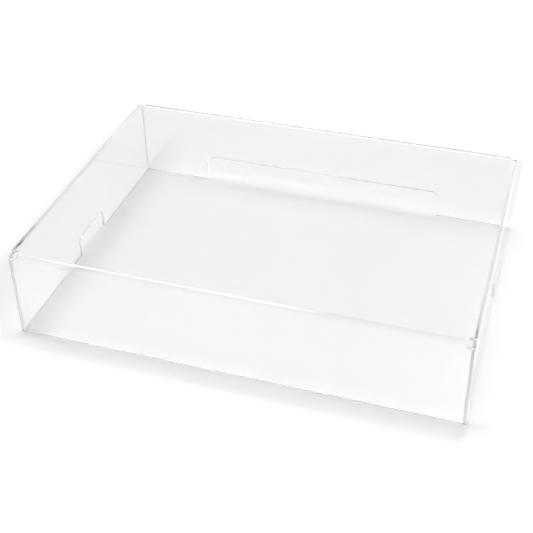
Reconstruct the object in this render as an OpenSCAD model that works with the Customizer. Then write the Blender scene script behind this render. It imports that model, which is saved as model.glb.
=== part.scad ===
// Clear acrylic letter tray, stored lying open side down on its rim.
// One sheet is bent along two lines into front wall, base and back wall, and a flat panel is
// cemented into each end. The origin is the centre of the outline on the plane of the rim:
// +X runs along the long side, +Y towards the wall with the wide cut-out, +Z up to the base.

/* [Tray] */
// Outside length, along X
tray_w = 320; // [280:1:360]
// Outside depth, from the front wall to the back wall
tray_d = 230; // [200:1:260]
// Outside height of the walls
tray_h = 68; // [50:1:100]
// Thickness of the sheet and of the end panels
sheet_t = 2; // [1.5:0.1:3]

/* [Bends] */
// Inside radius of the two line bends
bend_r = 2.5; // [1.5:0.1:4]
// Shift of each relief slot from the bend's corner towards the base
relief_shift = 1.2; // [0:0.1:2]
// Straight stretch of a relief slot beyond the end panel, before its round end
relief_run = 0.8; // [0.2:0.1:4]

/* [Thumb notches] */
// Length of the notch in the rim of each end panel
notch_w = 42; // [20:1:80]
// Height of the notch
notch_h = 16; // [8:1:30]
// Radius of the notch's two upper corners
notch_r = 5; // [1:0.5:7]

/* [Back cut-out] */
// Length of the cut-out in the rim of the back wall
cutout_w = 202; // [60:1:240]
// Height of the cut-out
cutout_h = 22.5; // [10:0.5:40]
// Radius of the cut-out's two upper corners
cutout_r = 5; // [1:0.5:9]

/* [Hidden] */
$fn = 96;
overcut = 1;                            // a cutting tool runs this far past a face
slot_clear = 0.13;                      // air between a panel's corner and its relief slot
outer_r = bend_r + sheet_t;
panel_d = tray_d - 2 * sheet_t;
panel_h = tray_h - sheet_t;
// A panel's square corner meets the bend over this half width, measured across the corner
corner_reach = bend_r * cos(45);
slot_r = corner_reach + relief_shift + slot_clear;
slot_centre = sheet_t + relief_run;
slot_depth = 4 * outer_r;

// Upright outline with square feet and two round upper corners, centred on the Y axis
module arch(width, height, r) {
    translate([-width / 2, 0]) square([width, height - r]);
    translate([r - width / 2, 0]) square([width - 2 * r, height]);
    for (side = [-1, 1])
        translate([side * (width / 2 - r), height - r]) circle(r);
}

// An arch-shaped opening that starts below the rim, as a tool centred on the wall it cuts
module rim_opening(width, height, r) {
    translate([0, 0, -overcut])
        rotate([90, 0, 0])
            linear_extrude(sheet_t + 2 * overcut, center = true)
                arch(width, height + overcut, r);
}

// Cross-section of the bent sheet: front wall, base and back wall in one strip
module sheet_profile() {
    difference() {
        arch(tray_d, tray_h, outer_r);
        translate([0, -overcut]) arch(panel_d, panel_h + overcut, bend_r);
    }
}

// Slot with a round inner end, cut square through the bend's corner at the front right
module relief_slot() {
    translate([tray_w / 2, -tray_d / 2, tray_h])
        rotate([45, 0, 0])
            translate([-slot_centre, relief_shift, 0])
                linear_extrude(slot_depth, center = true) {
                    circle(slot_r);
                    translate([0, -slot_r]) square([slot_centre + overcut, 2 * slot_r]);
                }
}

module folded_sheet() {
    color("aliceblue", 0.5)
        difference() {
            rotate([90, 0, 90]) linear_extrude(tray_w, center = true) sheet_profile();
            translate([0, (tray_d - sheet_t) / 2, 0]) rim_opening(cutout_w, cutout_h, cutout_r);
            for (across = [0, 1], along = [0, 1])
                mirror([across, 0, 0]) mirror([0, along, 0]) relief_slot();
        }
}

// Flat end panel with square corners, held between the walls and under the base
module end_panel(side) {
    color("lavender", 0.5)
        translate([side * (tray_w - sheet_t) / 2, 0, 0])
            difference() {
                translate([-sheet_t / 2, -panel_d / 2, 0]) cube([sheet_t, panel_d, panel_h]);
                rotate([0, 0, 90]) rim_opening(notch_w, notch_h, notch_r);
            }
}

module left_end_panel() { end_panel(-1); }

module right_end_panel() { end_panel(1); }

folded_sheet();
left_end_panel();
right_end_panel();
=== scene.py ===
import math

import bmesh
import bpy
from mathutils import Matrix, Vector


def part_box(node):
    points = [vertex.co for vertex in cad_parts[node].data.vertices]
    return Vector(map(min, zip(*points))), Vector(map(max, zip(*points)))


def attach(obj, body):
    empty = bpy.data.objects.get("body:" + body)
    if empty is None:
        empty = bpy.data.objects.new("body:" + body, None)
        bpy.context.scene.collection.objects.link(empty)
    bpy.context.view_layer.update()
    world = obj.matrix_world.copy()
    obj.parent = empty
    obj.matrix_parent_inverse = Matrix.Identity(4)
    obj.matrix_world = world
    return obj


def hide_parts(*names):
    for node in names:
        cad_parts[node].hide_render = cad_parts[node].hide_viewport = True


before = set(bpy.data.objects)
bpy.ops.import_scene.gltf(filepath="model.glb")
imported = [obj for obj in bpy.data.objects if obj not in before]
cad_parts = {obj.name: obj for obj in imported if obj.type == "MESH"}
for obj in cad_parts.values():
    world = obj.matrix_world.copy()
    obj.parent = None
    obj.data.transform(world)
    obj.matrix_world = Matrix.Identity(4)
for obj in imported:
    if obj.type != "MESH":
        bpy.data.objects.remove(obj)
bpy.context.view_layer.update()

MM = 0.001

# ---------------------------------------------------------------- sizes

# The outer sizes come from the frame. Cut-outs, notches and bends have the sizes of the CAD source.
SHEET_LO, SHEET_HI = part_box("folded_sheet")
PANEL_LO, PANEL_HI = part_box("left_end_panel")
WIDTH = SHEET_HI.x - SHEET_LO.x
DEPTH = SHEET_HI.y - SHEET_LO.y
HEIGHT = SHEET_HI.z - SHEET_LO.z
SHEET_T = PANEL_HI.x - PANEL_LO.x
PANEL_DEPTH = PANEL_HI.y - PANEL_LO.y
PANEL_HEIGHT = PANEL_HI.z - PANEL_LO.z

BEND_R = 2.5 * MM                             # inside radius of the two line bends
BEND_STRIPS = 24                              # faces round each bend
CUT_MARGIN = 1e-7                             # how near a vertex counts as lying on a bend line
CUTOUT_W = 202 * MM
CUTOUT_H = 22.5 * MM
CUTOUT_R = 5 * MM
NOTCH_W = 42 * MM
NOTCH_H = 16 * MM
NOTCH_R = 5 * MM
POLISH_R = 0.25 * MM                          # rounding that flame polishing leaves on a cut edge
POLISH_STEPS = 3
TAPER = 0.5 * MM                              # a polished edge dies out over this length at a joint
JOINT_GAP = 0.03 * MM                         # air left between an end panel and the sheet
FLOOR_DROP = 0.1 * MM                         # the floor lies this far under the rim

ARM = HEIGHT - BEND_R - SHEET_T               # straight part of the front and back walls
BEND_LENGTH = (BEND_R + SHEET_T / 2) * math.pi / 2
FLAT_BASE = DEPTH - 2 * (BEND_R + SHEET_T)
FLAT_LENGTH = 2 * ARM + 2 * BEND_LENGTH + FLAT_BASE

# The relief slots, laid out along the flat sheet so that they come out like the CAD source's
SLOT_SKIP = 0.4 * MM                          # what the slot leaves of the bend's start
SLOT_OVERRUN = 1.6 * MM                       # how far it runs past the bend's end
SLOT_RUN = 0.8 * MM                           # straight stretch beyond the end panel
SLOT_START = ARM + SLOT_SKIP
SLOT_END = ARM + BEND_LENGTH + SLOT_OVERRUN
SLOT_CENTRE = SHEET_T + SLOT_RUN              # from the side edge to the centre of its round end
SLOT_STEPS = 24                               # sides round its end


# ---------------------------------------------------------------- outlines and slabs

# An outline point is (x, y, lower, upper): how much of the polished rounding its edge gets on the
# slab's lower and upper face. A cemented edge is square, so it has 0 there.

def free(points):
    """The points with both edges polished."""
    return [(x, y, 1, 1) for x, y in points]


def arc(centre, radius, start, end, steps=16):
    """Points round a circle from one angle to another, in degrees, both ends included."""
    turns = [math.radians(start + (end - start) * i / steps) for i in range(steps + 1)]
    return [(centre[0] + radius * math.cos(a), centre[1] + radius * math.sin(a)) for a in turns]


def mirrored(points):
    """The same points on the other side of the first axis, in the opposite order."""
    return [(-x, y, lower, upper) for x, y, lower, upper in reversed(points)]


LOWER, UPPER = 2, 3                           # where an outline point keeps its two shares
FREE_EDGE, GLUED_EDGE = 1, 2                  # the material slots of a slab's edges; its faces have 0


def inset_loop(outline, inset, height, share):
    """The counter-clockwise outline moved inwards by each point's share of the inset."""
    moved = []
    for i, point in enumerate(outline):
        before, here, after = (Vector(outline[j % len(outline)][:2]) for j in (i - 1, i, i + 1))
        a, b = (here - before).normalized(), (after - here).normalized()
        inward_a, inward_b = Vector((-a.y, a.x)), Vector((-b.y, b.x))
        move = (inward_a + inward_b) * inset * point[share] / (1 + inward_a.dot(inward_b))
        moved.append((here.x + move.x, here.y + move.y, height))
    return moved


def slab(outline, thickness, radius):
    """A closed slab with the outline in XY, the thickness along Z and rounded edges."""
    turns = [math.pi / 2 * i / POLISH_STEPS for i in range(POLISH_STEPS + 1)]
    steps = [(radius * (1 - math.sin(a)), radius * (1 - math.cos(a))) for a in turns]
    loops = [inset_loop(outline, inset, rise, LOWER) for inset, rise in steps]
    loops += [inset_loop(outline, inset, thickness - rise, UPPER) for inset, rise in reversed(steps)]
    mesh = bmesh.new()
    loops = [[mesh.verts.new(place) for place in loop] for loop in loops]
    mesh.faces.new(list(reversed(loops[0])))
    mesh.faces.new(loops[-1])
    count = len(outline)
    for lower, upper in zip(loops, loops[1:]):
        for i in range(count):
            j = (i + 1) % count
            side = mesh.faces.new((lower[i], lower[j], upper[j], upper[i]))
            cemented = outline[i][2:] == outline[j][2:] == (0, 0)
            side.material_index = GLUED_EDGE if cemented else FREE_EDGE
    return mesh


LARGE_FACES_WIN = 100                         # a corner's normal follows its largest face


def finish_piece(name, mesh, node, materials):
    """Makes the object, gives it its shading and materials, and puts it in the place of its CAD node."""
    bmesh.ops.recalc_face_normals(mesh, faces=mesh.faces)
    data = bpy.data.meshes.new(name)
    mesh.to_mesh(data)
    mesh.free()
    data.polygons.foreach_set("use_smooth", [True] * len(data.polygons))
    for material in materials:
        data.materials.append(material)
    piece = bpy.data.objects.new(name, data)
    bpy.context.scene.collection.objects.link(piece)
    weighted = piece.modifiers.new("weighted_normals", "WEIGHTED_NORMAL")
    weighted.mode = "FACE_AREA"
    weighted.weight = LARGE_FACES_WIN
    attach(piece, "root")
    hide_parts(node)
    return piece


# ---------------------------------------------------------------- the bent sheet

def flat_outline():
    """The sheet before bending: X across, Y from the front rim over the base to the back rim."""
    half = WIDTH / 2
    slot_r = (SLOT_END - SLOT_START) / 2
    slot_x = half - SLOT_CENTRE
    inside = half - SHEET_T - TAPER
    right = [(inside, 0, 1, 1), (half, 0, 0, 1)]
    for middle in ((SLOT_START + SLOT_END) / 2, FLAT_LENGTH - (SLOT_START + SLOT_END) / 2):
        right.append((half, middle - slot_r, 0, 1))
        right += free(arc((slot_x, middle), slot_r, -90, -270, SLOT_STEPS))
        right.append((half, middle + slot_r, 0, 1))
    right += [(half, FLAT_LENGTH, 0, 1), (inside, FLAT_LENGTH, 1, 1)]
    right.append((CUTOUT_W / 2, FLAT_LENGTH, 1, 1))
    cutout_corner = (CUTOUT_W / 2 - CUTOUT_R, FLAT_LENGTH - CUTOUT_H + CUTOUT_R)
    right += free(arc(cutout_corner, CUTOUT_R, 0, -90))
    return right + mirrored(right)


def bent(point):
    """Where a point of the flat sheet goes when the two bends are made. Z 0 is the inner face."""
    along = min(point.y, FLAT_LENGTH - point.y)
    side = -1 if point.y < FLAT_LENGTH / 2 else 1
    centre_y, centre_z = DEPTH / 2 - BEND_R - SHEET_T, ARM
    reach = BEND_R + point.z
    if along <= ARM:
        return Vector((point.x, side * (centre_y + reach), along))
    if along <= ARM + BEND_LENGTH:
        turn = (along - ARM) / BEND_LENGTH * math.pi / 2
        out, up = reach * math.cos(turn), reach * math.sin(turn)
        return Vector((point.x, side * (centre_y + out), centre_z + up))
    inwards = along - ARM - BEND_LENGTH
    return Vector((point.x, side * (centre_y - inwards), centre_z + reach))


def bent_sheet(materials):
    """The whole sheet: made flat, cut across where it bends, and bent."""
    mesh = slab(flat_outline(), SHEET_T, POLISH_R)
    for i in range(BEND_STRIPS + 1):
        line = ARM + BEND_LENGTH * i / BEND_STRIPS
        for along in (line, FLAT_LENGTH - line):
            geometry = mesh.verts[:] + mesh.edges[:] + mesh.faces[:]
            bmesh.ops.bisect_plane(
                mesh, geom=geometry, dist=CUT_MARGIN, plane_co=(0, along, 0), plane_no=(0, 1, 0)
            )
    for vert in mesh.verts:
        vert.co = bent(vert.co)
    return finish_piece("bent_sheet", mesh, "folded_sheet", materials)


# ---------------------------------------------------------------- the end panels

def panel_outline():
    """An end panel seen from its side: X along its length, Y up. Its rim and notch are free edges."""
    half = PANEL_DEPTH / 2 - JOINT_GAP
    top = PANEL_HEIGHT - JOINT_GAP
    right = free(arc((NOTCH_W / 2 - NOTCH_R, NOTCH_H - NOTCH_R), NOTCH_R, 90, 0))
    right += [(NOTCH_W / 2, 0, 1, 1), (half - TAPER, 0, 1, 1)]
    right += [(half, 0, 0, 0), (half, top, 0, 0)]
    return right + mirrored(right)


def end_panel(name, node, side, materials):
    """An end panel, stood up at the tray's left (side -1) or right (side 1)."""
    mesh = slab(panel_outline(), SHEET_T, POLISH_R)
    for vert in mesh.verts:
        along, up, out = vert.co
        vert.co = (side * (WIDTH / 2 - SHEET_T + out), along, up)
    return finish_piece(name, mesh, node, materials)


# ---------------------------------------------------------------- materials

ACRYLIC_IOR = 1.49
CEMENT_IOR = 1.02                             # cement fills the joint, so its faces hardly bend light
ABSORPTION = 0.12                             # per metre, which only the edges show

# A noise scale is in lumps to the metre. A fade is where the noise starts and ends its step.
# A hairline pattern has its scale, detail, stretch and turn.
HAZE_SCALE, HAZE_FADE, HAZE_ROUGHNESS = 26, (0.48, 0.72), 0.025
HAIRLINE_ALONG, ALONG_FADE = (900, 1, (0.012, 1, 1), 12), (0.70, 0.78)
HAIRLINE_ACROSS, ACROSS_FADE = (800, 1, (1, 0.015, 1), -7), (0.71, 0.79)
SCRATCH_ROUGHNESS = 0.12
SCRATCH_DEPTH = 0.004 * MM
WAVE_SCALE, CAST_WAVE = 9, 0.02 * MM
EDGE_FADE = (0.35, 0.70)
POLISHED_SCALE, POLISHED_ROUGHNESS = 300, (0.05, 0.16)
RIPPLE_SCALE, SAW_RIPPLE = 420, 0.01 * MM
CEMENT_SCALE, CEMENT_ROUGHNESS = 180, (0.60, 0.85)
BUBBLE_SCALE, BUBBLE_FADE, BUBBLE_DEPTH = 650, (0.66, 0.76), 0.05 * MM

# The floor's base colour, and the painted shade that darkens it left of the tray and at the inside of
# the feet
FLOOR_PALE = 0.93
LEFT_SHADE = 0.055
LEFT_FOOT_SHADE, LEFT_FADE = 0.14, 30 * MM
RIGHT_FOOT_SHADE, RIGHT_FADE = 0.03, 60 * MM
FRONT_FADE, BACK_FADE = 12 * MM, 80 * MM      # where these shades end, past the tray's front and back
# Beyond a painted shadow pool round the tray the floor has a painted glow, so that it burns out to
# white. Each fade of that pool has its axis (X 0, Y 1), its start, its length, and the share of the pool
# that remains.
FLOOR_GLOW = 0.23
SHADOW_POOL_LEFT, SHADOW_POOL_BACK = 47 * MM, 90 * MM       # how far the painted shadow pool reaches beyond the tray
SHADOW_POOL_FADES = (
    (0, -WIDTH / 2 - SHADOW_POOL_LEFT, -28 * MM, 0),
    (0, WIDTH / 2 - 1 * MM, 5 * MM, 0.35),
    (0, WIDTH / 2, 40 * MM, 0),
    (1, -DEPTH / 2, -40 * MM, 0),
    (1, DEPTH / 2 + SHADOW_POOL_BACK, 45 * MM, 0),
)


class Nodes:
    """A node tree with short ways to add and join nodes. A pattern's place is in object metres."""

    def __init__(self, tree):
        self.tree = tree

    def add(self, kind, **settings):
        node = self.tree.nodes.new(kind)
        for key, value in settings.items():
            setattr(node, key, value)
        return node

    def join(self, source, target):
        """Feeds the target with another node's output or with a number."""
        if isinstance(source, (int, float)):
            target.default_value = source
        else:
            self.tree.links.new(source, target)

    def math(self, operation, first, second):
        node = self.add("ShaderNodeMath", operation=operation)
        self.join(first, node.inputs[0])
        self.join(second, node.inputs[1])
        return node.outputs[0]

    def ramp(self, value, low, high, start, end):
        """A smooth step from start, where the value is low, to end, where it is high."""
        ramp = self.add("ShaderNodeMapRange", interpolation_type="SMOOTHSTEP")
        self.join(value, ramp.inputs["Value"])
        for name, number in zip(("From Min", "From Max", "To Min", "To Max"), (low, high, start, end)):
            ramp.inputs[name].default_value = number
        return ramp.outputs["Result"]

    def place(self, kind="Object"):
        """The three coordinates of the point that is shaded."""
        split = self.add("ShaderNodeSeparateXYZ")
        self.join(self.add("ShaderNodeTexCoord").outputs[kind], split.inputs[0])
        return split.outputs

    def noise(self, scale, detail=2.0, stretch=(1, 1, 1), turn=0.0):
        """Noise with this many lumps to the metre, fewer along an axis whose stretch is under 1."""
        mapping = self.add("ShaderNodeMapping")
        mapping.inputs["Scale"].default_value = stretch
        mapping.inputs["Rotation"].default_value = (0, 0, math.radians(turn))
        noise = self.add("ShaderNodeTexNoise")
        noise.inputs["Scale"].default_value = scale
        noise.inputs["Detail"].default_value = detail
        self.join(self.add("ShaderNodeTexCoord").outputs["Object"], mapping.inputs["Vector"])
        self.join(mapping.outputs["Vector"], noise.inputs["Vector"])
        return noise.outputs["Fac"]

    def bump(self, height, depth, below=None):
        """The normal of a surface whose height varies by this depth, on top of the one below."""
        bump = self.add("ShaderNodeBump")
        bump.inputs["Distance"].default_value = depth
        self.join(height, bump.inputs["Height"])
        if below is not None:
            self.join(below, bump.inputs["Normal"])
        return bump.outputs["Normal"]


def new_material(name):
    """A material, its node tree, and its shader's inputs."""
    material = bpy.data.materials.new(name)
    material.use_nodes = True
    return material, Nodes(material.node_tree), material.node_tree.nodes["Principled BSDF"].inputs


def acrylic(name):
    """Clear cast acrylic with nothing on it yet."""
    material, nodes, surface = new_material(name)
    surface["Base Color"].default_value = (1, 1, 1, 1)
    surface["Transmission Weight"].default_value = 1.0
    surface["IOR"].default_value = ACRYLIC_IOR
    absorb = nodes.add("ShaderNodeVolumeAbsorption")
    absorb.inputs["Color"].default_value = (0, 0, 0, 1)
    absorb.inputs["Density"].default_value = ABSORPTION
    nodes.join(absorb.outputs["Volume"], material.node_tree.nodes["Material Output"].inputs["Volume"])
    return material, nodes, surface


def clear_acrylic():
    """The faces: a faint cast waviness, hairline scratches both ways, and the haze of handling."""
    material, nodes, surface = acrylic("clear_acrylic")
    haze = nodes.ramp(nodes.noise(HAZE_SCALE, 4), *HAZE_FADE, 0, HAZE_ROUGHNESS)
    along = nodes.ramp(nodes.noise(*HAIRLINE_ALONG), *ALONG_FADE, 0, 1)
    across = nodes.ramp(nodes.noise(*HAIRLINE_ACROSS), *ACROSS_FADE, 0, 1)
    scratches = nodes.math("MAXIMUM", along, across)
    worn = nodes.math("MULTIPLY", scratches, SCRATCH_ROUGHNESS)
    nodes.join(nodes.math("ADD", haze, worn), surface["Roughness"])
    waves = nodes.bump(nodes.noise(WAVE_SCALE, 1), CAST_WAVE)
    nodes.join(nodes.bump(scratches, -SCRATCH_DEPTH, waves), surface["Normal"])
    return material


def polished_edge():
    """The free edges: flame polished, with the ripple that the saw left under the polish."""
    material, nodes, surface = acrylic("polished_edge")
    roughness = nodes.ramp(nodes.noise(POLISHED_SCALE), *EDGE_FADE, *POLISHED_ROUGHNESS)
    nodes.join(roughness, surface["Roughness"])
    nodes.join(nodes.bump(nodes.noise(RIPPLE_SCALE, 1), SAW_RIPPLE), surface["Normal"])
    return material


def cemented_edge():
    """The end panels' glued edges: matt from the solvent, with small bubbles caught in the joint."""
    material, nodes, surface = acrylic("cemented_edge")
    bubbles = nodes.ramp(nodes.noise(BUBBLE_SCALE, 0), *BUBBLE_FADE, 0, 1)
    roughness = nodes.ramp(nodes.noise(CEMENT_SCALE), *EDGE_FADE, *CEMENT_ROUGHNESS)
    nodes.join(roughness, surface["Roughness"])
    surface["IOR"].default_value = CEMENT_IOR
    nodes.join(nodes.bump(bubbles, BUBBLE_DEPTH), surface["Normal"])
    return material


def floor_shade(nodes, x, y):
    """The painted shade: how much darker the floor is left of the tray and at the inside of each end
    panel's foot.
    """
    left, right = -WIDTH / 2, WIDTH / 2
    beyond = nodes.ramp(x, left - SHEET_T, left, LEFT_SHADE, 0)
    right_of_face = nodes.ramp(x, left - SHEET_T, left, 0, 1)
    left_fade = nodes.ramp(x, left, left + LEFT_FADE, LEFT_FOOT_SHADE, 0)
    left_foot = nodes.math("MULTIPLY", right_of_face, left_fade)
    left_of_face = nodes.ramp(x, right - SHEET_T, right, 1, 0)
    right_fade = nodes.ramp(x, right - RIGHT_FADE, right - SHEET_T, 0, RIGHT_FOOT_SHADE)
    right_foot = nodes.math("MULTIPLY", left_of_face, right_fade)
    shade = nodes.math("ADD", beyond, nodes.math("ADD", left_foot, right_foot))
    shade = nodes.math("MULTIPLY", shade, nodes.ramp(y, -DEPTH / 2 - FRONT_FADE, -DEPTH / 2, 0, 1))
    return nodes.math("MULTIPLY", shade, nodes.ramp(y, DEPTH / 2, DEPTH / 2 + BACK_FADE, 1, 0))


def floor_glow(nodes, place):
    """How strongly the floor's painted glow shines: not at all in its painted shadow pool, and most
    beyond it.
    """
    shadow_pool = 1
    for axis, edge, fade, rest in SHADOW_POOL_FADES:
        shadow_pool = nodes.math("MULTIPLY", shadow_pool, nodes.ramp(place[axis], edge, edge + fade, 1, rest))
    return nodes.ramp(shadow_pool, 0, 1, FLOOR_GLOW, 0)


def painted_light_floor():
    """White table: light grey under and near the tray, where a painted shadow pool and painted shade
    lie, and burnt out to white beyond by a painted glow.
    """
    material, nodes, surface = new_material("painted_light_floor")
    place = nodes.place()
    surface["Roughness"].default_value = 1.0
    surface["Specular IOR Level"].default_value = 0.0
    # painted shade taken off the floor's base colour
    shade = floor_shade(nodes, place[0], place[1])
    nodes.join(nodes.math("SUBTRACT", FLOOR_PALE, shade), surface["Base Color"])
    # painted glow: the floor gives off light beyond the painted shadow pool, though it is no lamp
    surface["Emission Color"].default_value = (1, 1, 1, 1)
    nodes.join(floor_glow(nodes, place), surface["Emission Strength"])
    return material


# ---------------------------------------------------------------- stage, light and camera

FLOOR_SIZE = 6.0                              # metres from its middle to its edge
FLOOR_CELLS = 8


def floor():
    """The white table top that the tray stands on."""
    mesh = bmesh.new()
    bmesh.ops.create_grid(mesh, x_segments=FLOOR_CELLS, y_segments=FLOOR_CELLS, size=FLOOR_SIZE)
    data = bpy.data.meshes.new("floor")
    mesh.to_mesh(data)
    mesh.free()
    data.materials.append(painted_light_floor())
    plane = bpy.data.objects.new("floor", data)
    plane.location.z = -FLOOR_DROP
    bpy.context.scene.collection.objects.link(plane)


WALLS, CEILING = 0.70, 0.12
WALL_TOP = (0.64, 0.88)                       # sines of the heights where the walls start and end to dim
WALLS_BEHIND, BEHIND_FADE = 0.10, (0.4, 0.9)  # added towards the tray's back
# A lamp has its brightness and what it covers, in X and in Y, of a ceiling one unit up.
SOFTBOX = (7.4, (-1.35, -0.72), (-0.35, 0.35))
STRIP = (12.0, (-0.47, -0.25), (0.10, 0.28))
LAMP_EDGE = 0.07                              # its light fades out over this much beyond that
HORIZON_FADE = (0, 0.05)                      # lamps only exist above the horizon


def lit_patch(nodes, place, brightness, range_x, range_y):
    """A soft-edged rectangle of light on a ceiling one unit up."""
    x, y, z = place
    patch = nodes.ramp(z, *HORIZON_FADE, 0, brightness)
    for side, (low, high) in ((x, range_x), (y, range_y)):
        across = nodes.math("DIVIDE", side, z)
        patch = nodes.math("MULTIPLY", patch, nodes.ramp(across, low - LAMP_EDGE, low, 0, 1))
        patch = nodes.math("MULTIPLY", patch, nodes.ramp(across, high, high + LAMP_EDGE, 1, 0))
    return patch


def studio():
    """Pale walls all round, a dim ceiling, a softbox high on the left, and a small strip further up."""
    world = bpy.data.worlds.new("studio")
    bpy.context.scene.world = world
    world.use_nodes = True
    nodes = Nodes(world.node_tree)
    x, y, z = nodes.place("Generated")
    light = nodes.ramp(z, *WALL_TOP, WALLS, CEILING)
    light = nodes.math("ADD", light, nodes.ramp(y, *BEHIND_FADE, 0, WALLS_BEHIND))
    softbox = lit_patch(nodes, (x, y, z), *SOFTBOX)
    strip = lit_patch(nodes, (x, y, z), *STRIP)
    lamps = nodes.math("ADD", softbox, strip)
    background = world.node_tree.nodes["Background"].inputs
    background["Color"].default_value = (1, 1, 1, 1)
    nodes.join(nodes.math("ADD", light, lamps), background["Strength"])


# Fitted to the box's edges in the photo, with a shift because the tray lies off the photo's middle
CAMERA_AT = Vector((0.18750, -0.59859, 0.48858))
AZIMUTH, ELEVATION, ROLL = 18.258, 34.065, -0.987
SENSOR, LENS, SHIFT_Y = 36, 69.448, -0.1126
CLIP_NEAR, CLIP_FAR = 0.01, 50


def camera():
    """The photo's camera."""
    data = bpy.data.cameras.new("camera")
    data.sensor_width = SENSOR
    data.lens = LENS
    data.shift_y = SHIFT_Y
    data.clip_start = CLIP_NEAR
    data.clip_end = CLIP_FAR
    made = bpy.data.objects.new("camera", data)
    bpy.context.scene.collection.objects.link(made)
    made.location = CAMERA_AT
    turn = Matrix.Rotation(math.radians(AZIMUTH), 3, "Z")
    tilt = Matrix.Rotation(math.radians(90 - ELEVATION), 3, "X")
    roll = Matrix.Rotation(math.radians(ROLL), 3, "Z")
    made.rotation_euler = (turn @ tilt @ roll).to_euler()
    bpy.context.scene.camera = made


BOUNCES = 600                                 # light runs far inside a clear sheet before it gets out
DIFFUSE_BOUNCES = 6


def render_settings():
    """Many bounces, and no blur or clamp that would dim what comes through the acrylic."""
    scene = bpy.context.scene
    scene.view_settings.view_transform = "Standard"
    scene.cycles.use_denoising = True
    scene.cycles.max_bounces = BOUNCES
    scene.cycles.transmission_bounces = BOUNCES
    scene.cycles.glossy_bounces = BOUNCES
    scene.cycles.diffuse_bounces = DIFFUSE_BOUNCES
    scene.cycles.blur_glossy = 0.0
    scene.cycles.sample_clamp_indirect = 0.0
    scene.cycles.caustics_refractive = True
    scene.cycles.caustics_reflective = True


faces, edges, glued = clear_acrylic(), polished_edge(), cemented_edge()
bent_sheet([faces, edges])
end_panel("left_end_plate", "left_end_panel", -1, [faces, edges, glued])
end_panel("right_end_plate", "right_end_panel", 1, [faces, edges, glued])
floor()
studio()
camera()
render_settings()
